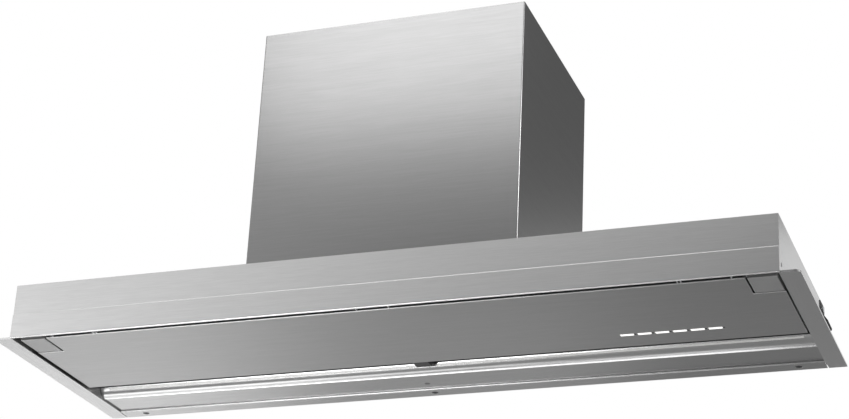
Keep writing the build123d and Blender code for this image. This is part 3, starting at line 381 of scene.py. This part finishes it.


# Gap along the front: a black strip on the panel's near wall, which is painted shade that keeps the
# gap dark where the wall would show light. Thin bright spacer leaves stand inside the lip of the
# front, each a steel leaf with a foot that is spot-welded to it.

def bar(name, low, high, rounding_mm):
    """A bar between two corners in millimetres, with rounded edges."""
    shape = bmesh.new()
    middle = Matrix.Translation([(a + b) / 2000 for a, b in zip(low, high)])
    size = Matrix.Diagonal([(b - a) / 1000 for a, b in zip(low, high)] + [1])
    bmesh.ops.create_cube(shape, size=1.0, matrix=middle @ size)
    bmesh.ops.bevel(shape, geom=shape.edges, offset=rounding_mm / 1000, segments=2, affect="EDGES",
                    profile=0.5)
    mesh = bpy.data.meshes.new(name)
    shape.to_mesh(mesh)
    shape.free()
    return mesh


# The black strip is painted shade: a dark sheet where the gap would otherwise show the lit wall.
black_gap_shade = moulded("black_gap_painted_shade", "#0B0B0C", "#131314", 0.75, grain_mm=0.4, depth_mm=0.05)
gap_shade_mesh = bar("near_gap_painted_shade", (-390, -128.6, 3.3), (390, -128, 13.4), 0.2)
new_piece("near_gap_painted_shade", gap_shade_mesh, black_gap_shade, "panel")

spacer_xs_mm = (-380, -329, -325.4, -18, 18, 325.4, 329, 380)
spacer_y_mm, spacer_z_mm = -140.95, 1.05
spacer_sizes = {"Thickness": 0.9, "Reach": 9.3, "Height": 5.5, "Foot": 4.0}
tree, sizes = shape_tree("gap_spacer", spacer_sizes)
half_reach, half_height, half_foot = (maths(tree, "MULTIPLY", sizes[size], 0.5)
                                      for size in ("Reach", "Height", "Foot"))
leaf = node_box(tree, (0.0, half_reach, half_height),
                (sizes["Thickness"], sizes["Reach"], sizes["Height"]))
foot = node_box(tree, (half_foot, 0.0004, half_height), (sizes["Foot"], 0.0008, sizes["Height"]))
joined = add_node(tree, "GeometryNodeJoinGeometry")
tree.links.new(leaf, joined.inputs["Geometry"])
tree.links.new(foot, joined.inputs["Geometry"])
bright_leaf = brushed_steel("bright_leaf_steel", "#C9CACB", "#DCDDDD", 0.4, (6, 6, 0.8))
end_tree(tree, joined.outputs["Geometry"], sizes["Places"], bright_leaf)
spacer_places_mm = [(x, spacer_y_mm, spacer_z_mm) for x in spacer_xs_mm]
new_piece("gap_spacers", grown("gap_spacers", tree, spacer_places_mm, spacer_sizes), bright_leaf, "hood")


# Hinge blocks at the near corners: silver-grey mouldings, each fixed to the box and carrying one
# hinge pin, with its face flush with the panel.

block_grey = moulded("silver_grey_moulding", "#8B8B8B", "#9A9A9A", 0.4, Metallic=0.55)
dress(block_grey, "left_hinge_block", "right_hinge_block")


# Snap catch at the middle of the far edge: a black moulding on the light rail's upright, with a
# thin leaf of spring steel that reaches under the panel's tongue.

spring_leaf = brushed_steel("bare_spring_steel", "#85878A", "#9EA0A2", 0.28, (0.5, 0.5, 12))
dress(spring_leaf, "catch_spring")
dress(black_plastic, "panel_catch")


# Six push keys: moulded white caps that stand in slots of the panel, with a small black disc beside
# each, which is painted shade for the dark mark at the key's right end, and a black housing with its
# board behind them. The caps glow a little: painted light, which keeps them white under the dim
# light from below.

# The caps' emission is painted light: a glow that keeps them white, though nothing lights them.
glowing_key_white = moulded("white_key_cap_painted_glow", "#E6E6E3", "#F1F1EF", 0.3, depth_mm=0.008,
                    Emission_Color=srgb("#FBFBF8"), Emission_Strength=0.75)
dress(glowing_key_white, *["key_%d" % number for number in range(1, 7)])

# Small black discs beside the keys: painted shade, for the dark mark at each key's right end.
dot_sizes = {"Radius": 1.3, "Depth": 0.12}
tree, sizes = shape_tree("key_light", dot_sizes)
dot = add_node(tree, "GeometryNodeMeshCone", {"Vertices": 20, "Radius Top": sizes["Radius"],
                                              "Radius Bottom": sizes["Radius"],
                                              "Depth": sizes["Depth"]})
end_tree(tree, dot.outputs["Mesh"], sizes["Places"], black_plastic)
dot_from_middle_mm, dot_y_mm, dot_z_mm = 9.0, 0.8, 1.88
key_middles = [sum(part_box("key_%d" % number)[end][0] for end in (0, 1)) * 500 for number in range(1, 7)]
dot_places_mm = [(x + dot_from_middle_mm, dot_y_mm, dot_z_mm) for x in key_middles]
new_piece("key_lights", grown("key_lights", tree, dot_places_mm, dot_sizes), black_plastic, "panel")
dress(black_plastic, "control_housing")


# Motor turret: one steel sheet folded to three walls, drawn brushed with its grain level. Its tone is
# far darker than the same steel on the sides: painted shade, for the turret's darker walls. A
# zinc-coated back and top close it, and zinc-plated hex screws hold it.

turret_steel_painted_shade = brushed_steel("turret_level_grain_painted_shade", "#818181", "#888888", 0.3, (36, 36, 0.9))
dress(turret_steel_painted_shade, "turret_shell")
dress(zinc_coated, "turret_back", "turret_top")
dress(zinc_plated, "casing_screws")


# Blower: a black moulded spiral casing in two halves, a bladed wheel that draws air from both ends,
# and the motor on a three-armed zinc-coated bracket in the near inlet.

casing_plastic = moulded("black_casing_moulding", "#202122", "#2C2D2E", 0.5, grain_mm=1.0)
dress(casing_plastic, "scroll_front", "scroll_rear")
wheel_plastic = moulded("dark_grey_wheel_moulding", "#303133", "#3D3E40", 0.42, grain_mm=0.9)
dress(wheel_plastic, "impeller", "damper_flap_front", "damper_flap_rear")
dress(zinc_plated, "motor_shaft")
dress(zinc_coated, "motor_bracket")
motor_paint, tree, shader, place = new_material("coated_motor_can", "#4B4D50", 0.4, metallic=0.3)
plates = add_node(tree, "ShaderNodeTexWave", {"Vector": place, "Scale": 160.0, "Distortion": 0.4},
                  bands_direction="Y")
two_tones(tree, shader, plates.outputs["Fac"], "#434548", "#55585B")
add_bump(tree, shader, plates.outputs["Fac"], 0.05)
dress(motor_paint, "motor")


# Outlet: a black moulded collar held in the turret's top, with two dark moulded flaps on one steel
# pin that shut when the fan stops. The flaps have the wheel's material.

dress(black_plastic, "outlet_collar")
dress(zinc_plated, "damper_pin")


# Power box on the low box: a folded zinc-coated tray and lid over the board, with a black moulded
# cable gland in its rear wall.

dress(zinc_coated, "power_box", "power_lid")
dress(black_plastic, "cable_gland")


# Side clips: leaves of blackened spring steel, riveted to the sides, which press against the
# cupboard.

black_spring = moulded("blackened_spring_steel", "#161617", "#222223", 0.5, grain_mm=1.2,
                       depth_mm=0.01, Metallic=0.4)
dress(black_spring, "side_clips")


# Studio: a pale floor well below, a white background for the camera, and soft lamps. Reflections see
# a dimmer, uneven surround and only the rim of the floor, which with the lamp cards on the floor
# gives the steel its run from light to dark. The floor is clear from below.

floor_depth = -1.15
floor_mesh = bpy.data.meshes.new("studio_floor")
floor_mesh.from_pydata([(x, y, floor_depth) for x, y in ((-9, -9), (9, -9), (9, 9), (-9, 9))], [],
                       [(0, 1, 2, 3)])
studio_floor = bpy.data.objects.new("studio_floor", floor_mesh)
bpy.context.scene.collection.objects.link(studio_floor)
pale, tree, shader, place = new_material("pale_floor", "#E8E8E8", 0.7)
wash = add_node(tree, "ShaderNodeTexNoise", {"Vector": place, "Scale": 1.5})
two_tones(tree, shader, wash.outputs["Fac"], "#E4E4E4", "#ECECEC")
floor_mesh.materials.append(pale)
rays = add_node(tree, "ShaderNodeLightPath")
across = add_node(tree, "ShaderNodeSeparateXYZ", {"Vector": place})
rims = [add_node(tree, "ShaderNodeMapRange", {"Value": across.outputs[axis], "From Min": start,
                                              "From Max": end}).outputs[0]
        for axis, start, end in (("Y", -0.9, -1.7), ("X", -0.4, -1.6), ("X", 0.9, 1.8),
                                 ("X", -3.5, -4.5), ("Y", 4.0, 5.0))]
rim = maths(tree, "MULTIPLY", rims[0], rims[1])
for other in rims[2:]:
    rim = maths(tree, "MAXIMUM", rim, other)
mirrored = maths(tree, "MAXIMUM", rays.outputs["Is Glossy Ray"], rays.outputs["Is Transmission Ray"])
seen = maths(tree, "MAXIMUM", maths(tree, "MULTIPLY", mirrored, rim), rays.outputs["Is Camera Ray"])
glow = maths(tree, "MULTIPLY", seen, 0.55)
shader.inputs["Emission Color"].default_value = srgb("#F2F2F2")
tree.links.new(glow, shader.inputs["Emission Strength"])
under = add_node(tree, "ShaderNodeNewGeometry").outputs["Backfacing"]
clear_below = add_node(tree, "ShaderNodeMixShader", {"Fac": under})
tree.links.new(shader.outputs[0], clear_below.inputs[1])
tree.links.new(add_node(tree, "ShaderNodeBsdfTransparent").outputs[0], clear_below.inputs[2])
tree.links.new(clear_below.outputs[0], tree.nodes["Material Output"].inputs["Surface"])


def soft_lamp(name, place, aim, size, power):
    """A soft area lamp that the camera doesn't see."""
    lamp = bpy.data.lights.new(name, "AREA")
    lamp.shape = "RECTANGLE"
    lamp.size, lamp.size_y = size
    lamp.energy = power
    holder = bpy.data.objects.new(name, lamp)
    bpy.context.scene.collection.objects.link(holder)
    holder.location = place
    holder.rotation_euler = (Vector(aim) - Vector(place)).to_track_quat("-Z", "Y").to_euler()
    holder.visible_camera = False
    return holder


soft_lamp("turret_lamp", (-0.03, -0.6, 0.62), (0, -0.127, 0.3), (0.8, 0.3), 2.2)
soft_lamp("turret_fill_lamp", (0.05, -0.6, 0.75), (0.02, -0.127, 0.33), (0.7, 0.25), 0.4)
soft_lamp("left_front_lamp", (-2.0, -2.2, 0.9), (-0.2, -0.14, 0), (1.6, 1.6), 8.7)
soft_lamp("left_side_lamp", (-1.1, -0.9, 0.15), (-0.4, -0.14, 0.03), (0.5, 0.5), 0.25)
soft_lamp("front_lamp", (-0.75, -2.8, 1.2), (0.1, -0.14, 0.03), (1.4, 1.0), 1.35)
soft_lamp("right_far_lamp", (1.0, 2.0, 0.7), (0.449, 0, 0.03), (1.0, 0.6), 1.2)
soft_lamp("right_near_lamp", (0.6, -0.2, 0.36), (0.155, -0.1, 0.3), (0.2, 0.2), 2.0)
soft_lamp("right_front_lamp", (1.1, 0.05, 0.68), (0.155, -0.127, 0.2), (0.3, 0.6), 3.0)
soft_lamp("fold_lamp", (-0.9, -0.75, 1.33), (-0.4, -0.14, 0.03), (0.8, 0.3), 3.0)
floor_cards = (
    ("far_left", -2.3, 3.0, (1.4, 1.2), 8.5),
    ("far_middle", -1.15, 2.9, (1.2, 1.2), 1.6),
    ("left_ridge", -0.95, 0.9, (0.8, 0.22), 4.6),
    ("left_slope", -0.95, 0.5, (0.8, 0.58), 1.7),
    ("left_top", -0.95, 0.1, (0.8, 0.22), 1.7),
    ("middle_ridge", -0.4, 0.7, (0.4, 0.22), 1.0),
    ("middle_slope", -0.4, 0.1, (0.4, 0.22), 0.5),
    ("right_ridge", -0.02, 0.7, (0.4, 0.22), 1.1),
    ("right_slope", -0.02, 0.3, (0.4, 0.22), 0.4),
    ("near_edge", -0.75, -1.15, (0.8, 0.9), 20.0),
)
for name, x, y, size, power in floor_cards:
    soft_lamp(name + "_floor_card", (x, y, floor_depth + 0.03), (x, y, 1), size, power)

world = bpy.data.worlds.new("studio_world")
bpy.context.scene.world = world
world.use_nodes = True
tree = world.node_tree
tree.nodes.clear()
rays = add_node(tree, "ShaderNodeLightPath")
toward = add_node(tree, "ShaderNodeTexCoord").outputs["Generated"]
behind = add_node(tree, "ShaderNodeVectorMath", {0: toward, 1: (-0.36, 0.93, 0)},
                  operation="DOT_PRODUCT")
height = add_node(tree, "ShaderNodeSeparateXYZ", {"Vector": toward})
screen, overhead, wings = (
    add_node(tree, "ShaderNodeMapRange", {"Value": value, "From Min": start, "From Max": end,
                                          "To Min": low, "To Max": high},
             interpolation_type="SMOOTHSTEP").outputs["Result"]
    for value, start, end, low, high in (
        (behind.outputs["Value"], 0.74, 0.95, 0.18, 0.83),
        (height.outputs["Z"], 0.45, 0.9, 0.0, 0.33),
        (maths(tree, "ABSOLUTE", height.outputs["X"]), 0.45, 0.85, 0.0, 0.6)))
walls = maths(tree, "MAXIMUM", screen, wings)
mirrored = maths(tree, "MAXIMUM", rays.outputs["Is Glossy Ray"], rays.outputs["Is Transmission Ray"])
room = add_node(tree, "ShaderNodeMix", {"Factor": mirrored, "A": 0.042, "B": walls})
lit = maths(tree, "ADD", room.outputs["Result"], overhead)
seen = add_node(tree, "ShaderNodeMix", {"Factor": rays.outputs["Is Camera Ray"], "A": lit, "B": 1.0})
light = add_node(tree, "ShaderNodeBackground", {"Color": (1, 1, 1, 1),
                                                "Strength": seen.outputs["Result"]})
add_node(tree, "ShaderNodeOutputWorld", {"Surface": light.outputs[0]})

camera_data = bpy.data.cameras.new("camera")
camera_data.lens = 87.336
camera_data.sensor_width = 36.0
camera = bpy.data.objects.new("camera", camera_data)
bpy.context.scene.collection.objects.link(camera)
camera.matrix_world = (Matrix.Translation((0.7664, -1.9958, -0.7744))
                       @ Matrix.Rotation(math.radians(20.974), 4, "Z")
                       @ Matrix.Rotation(math.radians(113.902), 4, "X")
                       @ Matrix.Rotation(math.radians(2.9946), 4, "Z"))
bpy.context.scene.camera = camera
bpy.context.scene.view_settings.view_transform = "Standard"
